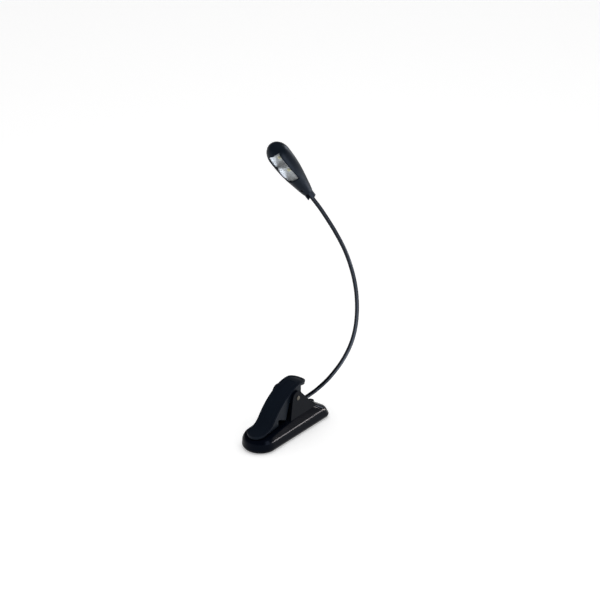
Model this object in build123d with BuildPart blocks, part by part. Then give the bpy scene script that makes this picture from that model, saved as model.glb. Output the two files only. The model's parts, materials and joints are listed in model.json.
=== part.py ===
from build123d import *
import math
import os

# Clip-on reading lamp, millimetres. +X runs from the nose of the housing to its tail,
# +Z is up, and the origin is the middle of the flat underside.

os.makedirs("parts", exist_ok=True)

# ---- housing: a flat battery case that is also the lower jaw of the clip ----
base_length = 115.5
base_width = 38.0
bottom_inset = 2.0  # the side walls lean in below the seam of the nose
bottom_edge_radius = 4.6
seam_edge_radius = 3.0
tail_corner_radius = 8.5
seam_height = 4.2
shoulder_height = 12.05  # at the middle of the length
shoulder_slope = 0.75  # degrees, rising towards the tail
shoulder_inset = 0.6
shoulder_tail_inset = 5.0
deck_height = 20.4
deck_inset = 6.0
deck_nose_inset = 6.2
deck_tail_inset = 17.2
deck_crown_radius = 570.0
deck_crown_x = 30.0
shoulder_radius = 6.5
deck_edge_radius = 2.0
shoulder_band = 1.4  # the tilted shoulder line stays within this of its middle height
cover_top_drop = 3.7  # the cover ends this far below the shoulder line
cover_wall = 1.5
cover_gap = 0.25
bay_wall = 1.0
bay_foot_z = 3.4  # the bay walls end here, so that the cells go in straight
cover_front_x = -39.5
small_gap = 0.15
tolerance = 0.02

# ---- battery bay and electronics ----
cell_diameter = 10.5
cell_length = 44.5
cell_nub_diameter = 3.8
cell_nub_length = 1.0
cell_pitch = 10.6
cell_floor_gap = 0.3
bay_front_x = -37.0
bay_length = 50.0
bulkhead_thickness = 1.2
contact_thickness = 0.4
contact_width = 8.0
board_length = 25.0
board_width = 24.0
board_thickness = 1.4
board_lift = 0.3
board_tail_margin = 4.6  # board behind the middle of the button

# ---- power button ----
button_x = 45.4
button_radius = 3.8
button_top_z = 17.7
button_travel = 1.0
button_gap = 0.25
button_flange_radius = 4.7
button_flange_thickness = 1.0
guide_wall = 1.2

# ---- ears, pin and clip lever ----
pin_x = 6.75
pin_z = 41.0
pin_diameter = 4.0
pin_proud = 0.6
pin_running_gap = 0.06
ear_gap = 22.2
ear_thickness = 2.5
ear_top_radius = 7.6
ear_foot_front = 12.2  # ahead of the pin
ear_foot_rear = 30.5  # behind the pin
lever_width = 21.2
lever_skin = 1.8
cheek_thickness = 2.0
rim_width = 1.3  # raised rim round the back of the lever
rim_height = 0.5
rim_thickness = 1.5
rim_radius = 0.3
cheek_inset = 0.5  # the cheeks stand back this far under the rim
panel_depth = 0.3
panel_half_width = 4.6
panel_middle = -20.0  # from the pin
panel_length = 56.0
lever_corner = 9.4  # the thumb end is nearly a half circle in plan
boss_radius = 6.4
boss_width = 9.8
lever_floor_gap = 1.1  # the cheeks stand this far above the deck
gripping_floor = 1.3
pad_thickness = 1.2
pad_proud = 0.4
pad_recess = 0.7
jaw_rest_gap = 0.3
lever_reach = 61.0  # from the pin to the tip
lever_tip_drop = 22.4  # the top of the tip lies this far below the pin
thumb_reach = 22.0  # from the pin to the edge of the thumb end
thumb_rise = 10.6
thumb_lip = 3.2  # depth of the edge of the thumb end
cheek_rear = 9.4  # the cheeks end this far behind the pin
crest_shift = 9.0
crest_rise = 12.4
pad_length = 25.0

# ---- torsion spring ----
spring_wire = 1.3
spring_coil_radius = 4.0
spring_turns = 7
spring_pitch = 1.55
foot_leg_angle = 157.7  # where the leg that stands on the deck leaves the coil
foot_leg_length = 24.2
thumb_leg_angle = 130.0  # where the leg under the thumb end leaves the coil
thumb_leg_length = 10.4

# ---- neck ----
neck_diameter = 4.3
core_diameter = 3.1
neck_plane_yaw = 51.0  # degrees from +X towards -Y
neck_plane_x = 58.0  # where that upright plane crosses the centre line
link_gap = 0.3
bend_share = 0.42
socket_start_x = 17.0
socket_length = 15.5
socket_radius = 4.6
ferrule_radius = 3.1
neck_start_x = 21.0
neck_axis_z = 24.0

# ---- head ----
head_length = 65.3
head_root_radius = 5.4
head_radius = 12.0
head_round_start = 50.0
head_wall = 1.5
collar_length = 7.4
collar_radius = 4.85
lamp_aim = Vector(-0.914, -0.348, -0.21)
window_start = 21.4
window_end = 56.0
window_half_width = 6.4
window_lobe = 1.3
window_corner = 4.5
window_edge_radius = 0.5
lens_top = 7.2
lens_thickness = 1.0
led_spacing = 17.0
led_middle = 40.7
cup_radius = 7.9
cup_floor_radius = 2.6
reflector_depth = 4.8
led_board_thickness = 1.2
head_screw_t = 7.0
head_screw_radius = 0.8
head_screw_head_radius = 1.45
head_screw_head_height = 1.0
head_screw_seat = 4.6
head_screw_grip = 3.6
head_post_radius = 2.6
head_rib_thickness = 1.2
reflector_rim = 0.6  # the reflector reaches this far under the edge of the window
led_board_length = 33.0
led_board_width = 14.0

half_length = base_length / 2
half_width = base_width / 2
outer_bay_inset = cover_wall + cover_gap
cavity_inset = outer_bay_inset + bay_wall
far = 200.0


# ======================= housing =======================
def shoulder_plane(drop):
    """The slightly tilted plane of the shoulder line, lowered by drop."""
    return Plane.XY.offset(shoulder_height - drop).rotated((0, -shoulder_slope, 0))


def plan_outline(half, nose_x, tail_x, corner):
    """Plan of the housing: a round nose and a square tail with rounded corners."""
    arc_x = nose_x + half
    turn = corner * (1 - math.sqrt(0.5))
    with BuildLine() as outline:
        Line((tail_x - corner, -half), (arc_x, -half))
        ThreePointArc((arc_x, -half), (nose_x, 0), (arc_x, half))
        Line((arc_x, half), (tail_x - corner, half))
        ThreePointArc((tail_x - corner, half), (tail_x - turn, half - turn), (tail_x, half - corner))
        Line((tail_x, half - corner), (tail_x, corner - half))
        ThreePointArc((tail_x, corner - half), (tail_x - turn, turn - half), (tail_x - corner, -half))
    make_face(outline.edges())


def seam_outline(inset):
    plan_outline(half_width - inset, inset - half_length, half_length - inset, tail_corner_radius - inset)


def bottom_outline(inset):
    seam_outline(inset + bottom_inset)


def shoulder_outline(inset):
    nose = inset + shoulder_inset - half_length
    tail = half_length - shoulder_tail_inset - inset
    plan_outline(half_width - shoulder_inset - inset, nose, tail, tail_corner_radius - inset)


def deck_outline(inset):
    nose = inset + deck_nose_inset - half_length
    tail = half_length - deck_tail_inset - inset
    plan_outline(half_width - deck_inset - inset, nose, tail, tail_corner_radius - inset)


def tip_plan(half, front, rear):
    """Plan with a round front end: the tip of the lever, its hollow and both pads."""
    with BuildLine() as outline:
        Line((rear, -half), (front + half, -half))
        ThreePointArc((front + half, -half), (front, 0), (front + half, half))
        Line((front + half, half), (rear, half))
        Line((rear, half), (rear, -half))
    make_face(outline.edges())


def deck_z(x):
    """Height of the crowned deck above the underside at a place along the housing."""
    return deck_height - deck_crown_radius + math.sqrt(deck_crown_radius**2 - (x - deck_crown_x) ** 2)


def deck_band(low, high, front, rear, mode=Mode.ADD):
    """Side view of a strip that follows the crowned deck between two offsets from it."""
    middle = (front + rear) / 2
    bottom = [(x, deck_z(x) + low) for x in (front, middle, rear)]
    top = [(x, deck_z(x) + high) for x in (rear, middle, front)]
    with BuildLine() as outline:
        ThreePointArc(*bottom)
        Line(bottom[-1], top[0])
        ThreePointArc(*top)
        Line(top[-1], bottom[0])
    make_face(outline.edges(), mode=mode)


def edges_between(block, low, high):
    """The edges that lie wholly between two heights."""

    def is_between(edge):
        reach = edge.bounding_box()
        return low < reach.min.Z and reach.max.Z < high

    return block.edges().filter_by(is_between)


def housing_solid(inset, rounded=False):
    """The whole housing as one closed block, shrunk evenly by inset."""
    with BuildPart(mode=Mode.PRIVATE) as block:
        with BuildSketch(Plane.XY.offset(inset)):
            bottom_outline(inset)
        with BuildSketch(Plane.XY.offset(seam_height)):
            seam_outline(inset)
        loft(ruled=True)
        with BuildSketch(Plane.XY.offset(seam_height)):
            seam_outline(inset)
        with BuildSketch(shoulder_plane(inset / 2)):
            shoulder_outline(inset)
        loft(ruled=True)
        with BuildSketch(shoulder_plane(inset / 2)):
            shoulder_outline(inset)
        with BuildSketch(Plane.XY.offset(deck_height - inset)):
            deck_outline(inset)
        loft(ruled=True)
        with BuildSketch(Plane.XZ):
            deck_band(-inset, deck_height, -half_length - 1, half_length + 1)
        extrude(amount=base_width, both=True, mode=Mode.SUBTRACT)
        if rounded:
            fillet(edges_between(block, seam_height - tolerance, seam_height + tolerance), seam_edge_radius)
            fillet(block.edges().group_by(Axis.Z)[0], bottom_edge_radius)
            shoulder_top = shoulder_height + shoulder_band
            fillet(edges_between(block, shoulder_top, far), deck_edge_radius)
            fillet(edges_between(block, shoulder_height - shoulder_band, shoulder_top), shoulder_radius)
    return block.part


def slab(front, rear, low, high, half=base_width):
    """A plain upright block between two places along the housing."""
    with BuildPart(mode=Mode.PRIVATE) as block:
        with BuildSketch(Plane.XY.offset(low)):
            with Locations(((front + rear) / 2, 0)):
                Rectangle(rear - front, 2 * half)
        extrude(amount=high - low)
    return block.part


def below_shoulder(front, rear, drop):
    """Everything below the shoulder line between two places along the housing."""
    with BuildPart(mode=Mode.PRIVATE) as block:
        with BuildSketch(shoulder_plane(drop)):
            Rectangle(far, far)
        extrude(amount=-far)
        add(slab(front, rear, -1, far), mode=Mode.INTERSECT)
    return block.part


def save(piece, name):
    """Label one finished piece and write it as its own STEP file."""
    piece.part.label = name
    export_step(piece.part, f"parts/{name}.step")


outer_block = housing_solid(0, rounded=True)
bay_block = housing_solid(outer_bay_inset)
cavity_block = housing_solid(cavity_inset)
floor_z = outer_bay_inset
cell_z = floor_z + cell_floor_gap - cover_gap + cell_diameter / 2
bay_rear_x = bay_front_x + bay_length
nose_screw_places = [(-46.5, 9.0), (-46.5, -9.0)]
tail_screw_places = [(19.5, 12.0), (19.5, -12.0)]
screw_radius = 1.2
screw_head_radius = 2.4
screw_head_height = 1.2
post_radius = 3.2
floor_plate_thickness = 1.3
guide_bottom_z = 9.9
flange_pocket_gap = 0.3
ear_outer = ear_gap / 2 + ear_thickness
lever_front_x = pin_x - lever_reach
pad_half_width = lever_width / 2 - cheek_thickness - small_gap
pad_front_x = lever_front_x + cheek_thickness + small_gap
pad_rear_x = pad_front_x + pad_length
ear_places = (ear_gap / 2, -ear_outer)

# ---- upper shell: roof, nose wall, battery bay, ears and neck socket ----
with BuildPart() as base_upper_shell:
    add(outer_block)
    add(slab(-far, cover_front_x, -1, seam_height), mode=Mode.SUBTRACT)
    add(below_shoulder(cover_front_x, far, cover_top_drop), mode=Mode.SUBTRACT)
    with BuildPart(mode=Mode.PRIVATE) as bay_skin:
        add(bay_block)
        add(below_shoulder(cover_front_x, far, cover_top_drop - tolerance), mode=Mode.INTERSECT)
        add(slab(cover_front_x, far, bay_foot_z, far), mode=Mode.INTERSECT)
    add(bay_skin.part)
    with BuildPart(mode=Mode.PRIVATE) as hollow:
        add(cavity_block)
        with BuildSketch(Plane.XY):
            seam_outline(cavity_inset)
        extrude(amount=seam_height)
    add(hollow.part, mode=Mode.SUBTRACT)
    # bulkheads that close the battery bay and carry its contacts
    for wall_x in (bay_front_x - bulkhead_thickness, bay_rear_x):
        with BuildPart(mode=Mode.PRIVATE) as bulkhead:
            add(cavity_block)
            add(slab(wall_x, wall_x + bulkhead_thickness, floor_z, far), mode=Mode.INTERSECT)
        add(bulkhead.part)
    # screw posts
    with BuildPart(mode=Mode.PRIVATE) as posts:
        post_floor = seam_height
        with BuildSketch(Plane.XY.offset(post_floor)):
            with Locations(*nose_screw_places, *tail_screw_places):
                Circle(post_radius)
        extrude(amount=deck_height - seam_height)
        add(bay_block, mode=Mode.INTERSECT)
    add(posts.part)
    with BuildSketch(Plane.XY.offset(seam_height)):
        with Locations(*nose_screw_places, *tail_screw_places):
            Circle(screw_radius)
    extrude(amount=6.0, mode=Mode.SUBTRACT)
    # guide tube, hole and flange pocket of the power button
    with BuildPart(mode=Mode.PRIVATE) as guide:
        with BuildSketch(Plane.XY.offset(guide_bottom_z)):
            with Locations((button_x, 0)):
                Circle(button_radius + button_gap + guide_wall)
        extrude(amount=deck_height)
        add(bay_block, mode=Mode.INTERSECT)
    add(guide.part)
    with BuildSketch(Plane.XY.offset(floor_z + 3)):
        with Locations((button_x, 0)):
            Circle(button_radius + button_gap)
    extrude(amount=deck_height, mode=Mode.SUBTRACT)
    with BuildSketch(Plane.XY.offset(guide_bottom_z)):
        with Locations((button_x, 0)):
            Circle(button_flange_radius + flange_pocket_gap)
    extrude(amount=-button_flange_thickness - button_travel - 1.6, mode=Mode.SUBTRACT)
    # ears that carry the lever pin
    for inner_y in ear_places:
        with BuildSketch(Plane.XZ.offset(-inner_y - ear_thickness)):
            with Locations((pin_x - 1.0, pin_z + 0.3)):
                Circle(ear_top_radius)
            with BuildLine() as foot:
                Polyline(
                    (pin_x - ear_foot_front, deck_z(pin_x - ear_foot_front) - 1.6),
                    (pin_x + ear_foot_rear, deck_z(pin_x + ear_foot_rear) - 1.6),
                    (pin_x + ear_foot_rear, deck_z(pin_x + ear_foot_rear) - 3.6),
                    (pin_x - ear_foot_front, deck_z(pin_x - ear_foot_front) - 3.6),
                    close=True,
                )
            make_face()
            make_hull()
        extrude(amount=ear_thickness)
    with BuildSketch(Plane.XZ):
        with Locations((pin_x, pin_z)):
            Circle(pin_diameter / 2)
    extrude(amount=base_width, both=True, mode=Mode.SUBTRACT)
    # socket that holds the root of the neck
    with BuildSketch(Plane.YZ.offset(socket_start_x)):
        with Locations((0, neck_axis_z)):
            Circle(socket_radius)
        with Locations((0, neck_axis_z - socket_radius)):
            Rectangle(2 * socket_radius, 2 * socket_radius - 1.0)
    extrude(amount=socket_length)
    with BuildSketch(Plane.YZ.offset(socket_start_x + 1.5)):
        with Locations((0, neck_axis_z)):
            Circle(ferrule_radius)
    extrude(amount=socket_length, mode=Mode.SUBTRACT)
    # shallow recess for the grip pad on the nose
    with BuildPart(mode=Mode.PRIVATE) as recess:
        with BuildSketch(Plane.XZ):
            deck_band(-pad_recess, deck_height, lever_front_x, pad_rear_x)
        extrude(amount=lever_width, both=True)
        with BuildSketch(Plane.XY):
            tip_plan(pad_half_width + small_gap, pad_front_x - small_gap, pad_rear_x + small_gap)
        extrude(amount=far, mode=Mode.INTERSECT)
    add(recess.part, mode=Mode.SUBTRACT)
save(base_upper_shell, "base_upper_shell")

# ---- nose floor: the fixed lower shell under the nose ----
with BuildPart() as nose_floor:
    add(outer_block)
    add(slab(-far, cover_front_x - cover_gap, -1, seam_height - small_gap), mode=Mode.INTERSECT)
    with BuildSketch(Plane.XY.offset(floor_z)):
        bottom_outline(cavity_inset)
    extrude(amount=seam_height, mode=Mode.SUBTRACT)
    with BuildSketch(Plane.XY):
        with Locations(*nose_screw_places):
            Circle(post_radius)
    extrude(amount=seam_height - small_gap)
    with BuildSketch(Plane.XY):
        with Locations(*nose_screw_places):
            Circle(screw_head_radius + small_gap)
    extrude(amount=screw_head_height + 0.6, mode=Mode.SUBTRACT)
    with BuildSketch(Plane.XY):
        with Locations(*nose_screw_places):
            Circle(screw_radius + small_gap)
    extrude(amount=seam_height, mode=Mode.SUBTRACT)
save(nose_floor, "nose_floor")

# ---- battery cover: a tray round the underside, the sides and the tail ----
with BuildPart() as battery_cover:
    add(outer_block)
    add(below_shoulder(cover_front_x, far, cover_top_drop + small_gap), mode=Mode.INTERSECT)
    add(housing_solid(cover_wall), mode=Mode.SUBTRACT)
    # finger grooves across the underside, near the tail
    with BuildSketch(Plane.XY):
        with Locations((half_length - 24.0, 0)):
            with GridLocations(2.4, 0, 5, 1):
                Rectangle(1.0, 16.0)
    extrude(amount=0.5, mode=Mode.SUBTRACT)
save(battery_cover, "battery_cover")

# ---- floor over the electronics, behind the battery bay ----
electronics_front_x = bay_rear_x + bulkhead_thickness + cover_gap
with BuildPart() as electronics_floor:
    with BuildSketch(Plane.XY.offset(floor_z)):
        bottom_outline(cavity_inset + small_gap)
    extrude(amount=floor_plate_thickness)
    add(slab(electronics_front_x, far, -1, far), mode=Mode.INTERSECT)
    with BuildSketch(Plane.XY.offset(floor_z)):
        with Locations(*tail_screw_places):
            Circle(post_radius)
    extrude(amount=seam_height - floor_z)
    with BuildSketch(Plane.XY.offset(floor_z)):
        with Locations(*tail_screw_places):
            Circle(screw_head_radius + small_gap)
    extrude(amount=screw_head_height, mode=Mode.SUBTRACT)
    with BuildSketch(Plane.XY.offset(floor_z)):
        with Locations(*tail_screw_places):
            Circle(screw_radius + small_gap)
    extrude(amount=seam_height, mode=Mode.SUBTRACT)
    # four pads that carry the circuit board
    with BuildSketch(Plane.XY.offset(floor_z + floor_plate_thickness)):
        with Locations((button_x - board_length / 2 + board_tail_margin, 0)):
            with GridLocations(board_length - 8.0, board_width - 8.0, 2, 2):
                Circle(1.5)
    extrude(amount=board_lift)
save(electronics_floor, "electronics_floor")


def self_tapping_screws(places, floor, length):
    """Pan head screws driven upwards from a floor."""
    with BuildPart(mode=Mode.PRIVATE) as screws:
        with BuildSketch(Plane.XY.offset(floor)):
            with Locations(*places):
                Circle(screw_head_radius)
        extrude(amount=screw_head_height)
        with BuildSketch(Plane.XY.offset(floor)):
            with Locations(*places):
                Circle(screw_radius)
        extrude(amount=length)
        with BuildSketch(Plane.XY.offset(floor)):
            with Locations(*places):
                Rectangle(2.6, 0.6)
                Rectangle(0.6, 2.6)
        extrude(amount=0.7, mode=Mode.SUBTRACT)
    return screws.part


with BuildPart() as shell_screws:
    add(self_tapping_screws(nose_screw_places, 0.6, 8.5))
    add(self_tapping_screws(tail_screw_places, floor_z, 7.5))
save(shell_screws, "shell_screws")

# ---- three cells side by side, the middle one turned round ----
with BuildPart() as battery_cells:
    for row, turn in ((-1, 1), (0, -1), (1, 1)):
        flip = (cell_length - cell_nub_length) / 2
        shift = -turn * cell_nub_length / 2
        with BuildSketch(Plane.YZ.offset(bay_front_x + bay_length / 2 + shift - flip)):
            with Locations((row * cell_pitch, cell_z)):
                Circle(cell_diameter / 2)
        extrude(amount=2 * flip)
        with BuildSketch(Plane.YZ.offset(bay_front_x + bay_length / 2 + shift + turn * flip)):
            with Locations((row * cell_pitch, cell_z)):
                Circle(cell_nub_diameter / 2)
        extrude(amount=turn * cell_nub_length)
save(battery_cells, "battery_cells")

cell_half = cell_length / 2
bay_middle_x = bay_front_x + bay_length / 2

# ---- contact plates on both bulkheads, one behind each nub ----
with BuildPart() as contact_plates:
    for row, turn in ((-1, 1), (0, -1), (1, 1)):
        wall_x = bay_middle_x + turn * bay_length / 2
        with BuildSketch(Plane.YZ.offset(wall_x)):
            with Locations((row * cell_pitch, cell_z)):
                Rectangle(contact_width, contact_width)
        extrude(amount=-turn * contact_thickness)
        with BuildSketch(Plane.YZ.offset(wall_x - turn * contact_thickness)):
            with Locations((row * cell_pitch, cell_z)):
                Circle(2.4)
        extrude(amount=-turn * (bay_length / 2 - cell_half - contact_thickness - small_gap))
save(contact_plates, "contact_plates")

# ---- coil contacts, one behind the flat end of each cell ----
contact_wire = 0.6
contact_turns = 3
contact_coil_radius = 3.2
with BuildPart() as battery_springs:
    for row, turn in ((-1, -1), (0, 1), (1, -1)):
        wall_x = bay_middle_x + turn * bay_length / 2
        reach = bay_length / 2 - cell_half - contact_wire - small_gap
        foot = (wall_x - turn * contact_wire / 2, row * cell_pitch, cell_z)
        with BuildLine() as coil:
            Helix(reach / contact_turns, reach, contact_coil_radius, center=foot, direction=(-turn, 0, 0))
        with BuildSketch(Plane(origin=coil.line @ 0, z_dir=coil.line % 0)):
            Circle(contact_wire / 2)
        sweep(is_frenet=True)
save(battery_springs, "battery_springs")

# ---- circuit board, its parts, the push switch and its plunger ----
board_z = floor_z + floor_plate_thickness + board_lift
board_middle_x = button_x - board_length / 2 + board_tail_margin
switch_height = 2.8
switch_size = 8.0
plunger_size = 3.0
plunger_entry = 0.6
plunger_pocket = plunger_entry + button_travel + 0.3
flange_z = guide_bottom_z - small_gap - button_flange_thickness
with BuildPart() as circuit_board:
    with BuildSketch(Plane.XY.offset(board_z)):
        with Locations((board_middle_x, 0)):
            RectangleRounded(board_length, board_width, 1.5)
    extrude(amount=board_thickness)
save(circuit_board, "circuit_board")

with BuildPart() as power_switch:
    with BuildSketch(Plane.XY.offset(board_z + board_thickness)):
        with Locations((button_x, 0)):
            Rectangle(switch_size, switch_size)
    extrude(amount=switch_height)
    with BuildSketch(Plane.XY.offset(board_z + board_thickness + switch_height)):
        with Locations((button_x, 0)):
            Rectangle(plunger_size + 0.4, plunger_size + 0.4)
    extrude(amount=-plunger_pocket, mode=Mode.SUBTRACT)
save(power_switch, "power_switch")

with BuildPart() as switch_plunger:
    with BuildSketch(Plane.XY.offset(flange_z)):
        with Locations((button_x, 0)):
            Rectangle(plunger_size, plunger_size)
    extrude(amount=board_z + board_thickness + switch_height - plunger_entry - flange_z)
save(switch_plunger, "switch_plunger")

with BuildPart() as board_components:
    with BuildSketch(Plane.XY.offset(board_z + board_thickness)):
        with Locations((board_middle_x - 8.0, 5.5)):
            Circle(3.0)
    extrude(amount=3.4)
    with BuildSketch(Plane.XY.offset(board_z + board_thickness)):
        with Locations((board_middle_x - 8.0, -4.5)):
            Rectangle(5.0, 4.0)
    extrude(amount=1.5)
    with BuildSketch(Plane.XY.offset(board_z + board_thickness)):
        with Locations((board_middle_x - 1.0, 0)):
            with GridLocations(0, 3.5, 1, 4):
                Rectangle(2.0, 1.25)
    extrude(amount=0.7)
save(board_components, "board_components")

# ---- power button on the sloping tail, held in by its flange ----
with BuildPart() as power_button:
    with BuildSketch(Plane.XY.offset(flange_z)):
        with Locations((button_x, 0)):
            Circle(button_radius)
    extrude(amount=button_top_z - flange_z)
    fillet(power_button.edges().sort_by(Axis.Z)[-1], 0.9)
    with BuildSketch(Plane.XY.offset(flange_z)):
        with Locations((button_x, 0)):
            Circle(button_flange_radius)
    extrude(amount=button_flange_thickness)
save(power_button, "power_button")

# ---- rubber grip pad let into the nose ----
with BuildPart() as base_grip_pad:
    with BuildSketch(Plane.XZ):
        deck_band(-pad_recess, pad_proud, lever_front_x, pad_rear_x)
    extrude(amount=lever_width, both=True)
    with BuildSketch(Plane.XY):
        tip_plan(pad_half_width, pad_front_x, pad_rear_x)
    extrude(amount=far, mode=Mode.INTERSECT)
save(base_grip_pad, "base_grip_pad")


# ======================= clip lever =======================
def from_pin(x, z):
    """A point of the side view, given from the pin."""
    return (pin_x + x, pin_z + z)


def on_lever_back(edge):
    """Whether an edge lies on the outermost surface of the back of the lever."""
    side_points = [Vertex(point.X, point.Z, 0) for point in (edge @ 0, edge @ 0.5, edge @ 1)]
    return all(min(point.distance_to(arc) for arc in lever_curve(0)) < tolerance for point in side_points)


def above_back(drop):
    """Side view of everything above the back of the lever lowered by drop."""
    with BuildLine() as outline:
        add(lever_curve(drop))
        Polyline(
            from_pin(-lever_reach, -lever_tip_drop - drop),
            from_pin(-lever_reach, far),
            from_pin(thumb_reach, far),
            from_pin(thumb_reach, thumb_rise - drop),
        )
    make_face(outline.edges())


def below_back(drop):
    """Side view of everything below the back of the lever lowered by drop."""
    with BuildLine() as outline:
        add(lever_curve(drop))
        Polyline(
            from_pin(-lever_reach, -lever_tip_drop - drop),
            from_pin(-lever_reach, -far),
            from_pin(far, -far),
            from_pin(far, thumb_rise - drop),
            from_pin(thumb_reach, thumb_rise - drop),
        )
    make_face(outline.edges())


def lever_plan(inset, thumb_inset):
    """Plan of the lever, shrunk by inset and by thumb_inset at its thumb end."""
    thumb_end = pin_x + thumb_reach - thumb_inset
    plan_outline(lever_width / 2 - inset, lever_front_x + inset, thumb_end, lever_corner - inset)


def lever_curve(drop):
    """The S-shaped back of the lever, in tangent arcs from its thumb end to its tip, lowered by drop."""
    with BuildLine() as curve:
        crest = ThreePointArc(
            from_pin(thumb_reach, thumb_rise - drop),
            from_pin(crest_shift, crest_rise - drop),
            from_pin(-6.2, 9.0 - drop),
        )
        slope = TangentArc(crest @ 1, from_pin(-36.0, -14.4 - drop), tangent=crest % 1)
        hollow = TangentArc(slope @ 1, from_pin(-47.0, -20.9 - drop), tangent=slope % 1)
        TangentArc(hollow @ 1, from_pin(-lever_reach, -lever_tip_drop - drop), tangent=hollow % 1)
    return curve.edges()


slab_low = pad_proud + jaw_rest_gap + pad_thickness
slab_high = slab_low + gripping_floor
throat_front_x = pin_x - 28.4
throat_rear_x = pin_x - 16.0
throat_top_z = pin_z - 14.7
throat_rear_z = pin_z - 20.0
lever_side = Plane.XZ.offset(-lever_width)
cheek_foot_x = (lever_front_x, (lever_front_x + throat_front_x) / 2, throat_front_x)
cheek_foot = [(x, deck_z(x) + lever_floor_gap) for x in cheek_foot_x]
with BuildPart() as jaw_lever:
    # plan of the lever, cut to the side view of its back and cheeks
    with BuildSketch(Plane.XY):
        lever_plan(0, 0)
    extrude(amount=2 * pin_z)
    with BuildSketch(lever_side):
        with BuildLine():
            add(lever_curve(0))
            Line(from_pin(-lever_reach, -lever_tip_drop), cheek_foot[0])
            ThreePointArc(*cheek_foot)
            Polyline(
                cheek_foot[-1],
                (throat_front_x, throat_top_z),
                (throat_rear_x, throat_rear_z),
                from_pin(-boss_width, -2.0),
            )
            ThreePointArc(from_pin(-boss_width, -2.0), from_pin(-1.0, -boss_radius), from_pin(cheek_rear, 1.8))
            Polyline(
                from_pin(cheek_rear, 1.8),
                from_pin(cheek_rear, crest_rise - thumb_lip),
                from_pin(thumb_reach, thumb_rise - thumb_lip),
                from_pin(thumb_reach, thumb_rise),
            )
        make_face()
    extrude(amount=2 * lever_width, mode=Mode.INTERSECT)
    # hollow under the back, inside the rim
    with BuildPart(mode=Mode.PRIVATE) as hollow:
        with BuildSketch(Plane.XY):
            tip_plan(lever_width / 2 - cheek_thickness, lever_front_x + cheek_thickness, far)
        extrude(amount=2 * pin_z)
        with BuildSketch(lever_side):
            below_back(lever_skin)
        extrude(amount=2 * lever_width, mode=Mode.INTERSECT)
        # the gripping floor stays
        with BuildSketch(lever_side):
            deck_band(slab_low, slab_high, lever_front_x - 1.0, throat_front_x - 1.0)
        extrude(amount=2 * lever_width, mode=Mode.SUBTRACT)
    add(hollow.part, mode=Mode.SUBTRACT)
    # the back is sunk inside its raised rim
    with BuildPart(mode=Mode.PRIVATE) as sunk:
        with BuildSketch(Plane.XY):
            lever_plan(rim_width, 2 * rim_width)
        extrude(amount=2 * pin_z)
        with BuildSketch(lever_side):
            above_back(rim_height)
        extrude(amount=2 * lever_width, mode=Mode.INTERSECT)
    add(sunk.part, mode=Mode.SUBTRACT)
    # the cheeks stand back under the rim
    with BuildPart(mode=Mode.PRIVATE) as between_cheeks:
        with BuildSketch(Plane.XY):
            lever_plan(cheek_inset, cheek_inset)
        extrude(amount=2 * pin_z)
    with BuildPart(mode=Mode.PRIVATE) as beside_cheeks:
        with BuildSketch(lever_side):
            below_back(rim_thickness)
        extrude(amount=2 * lever_width)
        add(between_cheeks.part, mode=Mode.SUBTRACT)
    add(beside_cheeks.part, mode=Mode.SUBTRACT)
    fillet(jaw_lever.edges().filter_by(on_lever_back), rim_radius)
    # shallow panel along the back
    with BuildSketch(Plane.XZ.offset(-panel_half_width)):
        above_back(rim_height + panel_depth)
        with Locations(from_pin(panel_middle, 0)):
            Rectangle(panel_length, far, mode=Mode.INTERSECT)
    extrude(amount=2 * panel_half_width, mode=Mode.SUBTRACT)
    with BuildSketch(lever_side):
        with Locations((pin_x, pin_z)):
            Circle(pin_diameter / 2 + pin_running_gap)
    extrude(amount=2 * lever_width, mode=Mode.SUBTRACT)
save(jaw_lever, "jaw_lever")


# ---- rubber pad glued under the gripping floor of the lever ----
with BuildPart() as jaw_grip_pad:
    with BuildSketch(Plane.XZ):
        deck_band(slab_low - pad_thickness, slab_low, lever_front_x, pad_rear_x)
    extrude(amount=lever_width, both=True)
    with BuildSketch(Plane.XY):
        tip_plan(pad_half_width, pad_front_x, pad_rear_x)
    extrude(amount=far, mode=Mode.INTERSECT)
save(jaw_grip_pad, "jaw_grip_pad")

# ---- steel pin through both ears ----
with BuildPart() as pivot_pin:
    pin_half = ear_outer + pin_proud
    with BuildSketch(Plane.XZ.offset(-pin_half)):
        with Locations((pin_x, pin_z)):
            Circle(pin_diameter / 2)
    extrude(amount=2 * pin_half)
    chamfer(pivot_pin.edges().filter_by(GeomType.CIRCLE), 0.35)
save(pivot_pin, "pivot_pin")

# ---- torsion spring round the pin: one leg on the deck, one under the thumb end ----
spring_turn_angle = 360 * spring_turns + foot_leg_angle - thumb_leg_angle
coil_height = spring_pitch * spring_turn_angle / 360
with BuildPart(mode=Mode.PRIVATE) as upright_spring:
    with BuildLine() as wire:
        coil = Helix(
            spring_pitch,
            coil_height,
            spring_coil_radius,
            center=(pin_x, -coil_height / 2, pin_z),
            direction=(0, 1, 0),
        )
        Line(coil @ 0 - (coil % 0) * foot_leg_length, coil @ 0)
        Line(coil @ 1, coil @ 1 + (coil % 1) * thumb_leg_length)
    spring_path = wire.wires()[0]
    with BuildSketch(Plane(origin=spring_path @ 0, z_dir=spring_path % 0)):
        Circle(spring_wire / 2)
    sweep(path=spring_path)
with BuildPart() as torsion_spring:
    add(upright_spring.part.rotate(Axis((pin_x, 0, pin_z), (0, 1, 0)), 90 - foot_leg_angle))
save(torsion_spring, "torsion_spring")

# ======================= neck =======================
yaw = math.radians(neck_plane_yaw)


def on_neck_plane(along, z):
    """A point of the upright plane in which the neck bends."""
    return Vector(neck_plane_x + along * math.cos(yaw), -along * math.sin(yaw), z)


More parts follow.
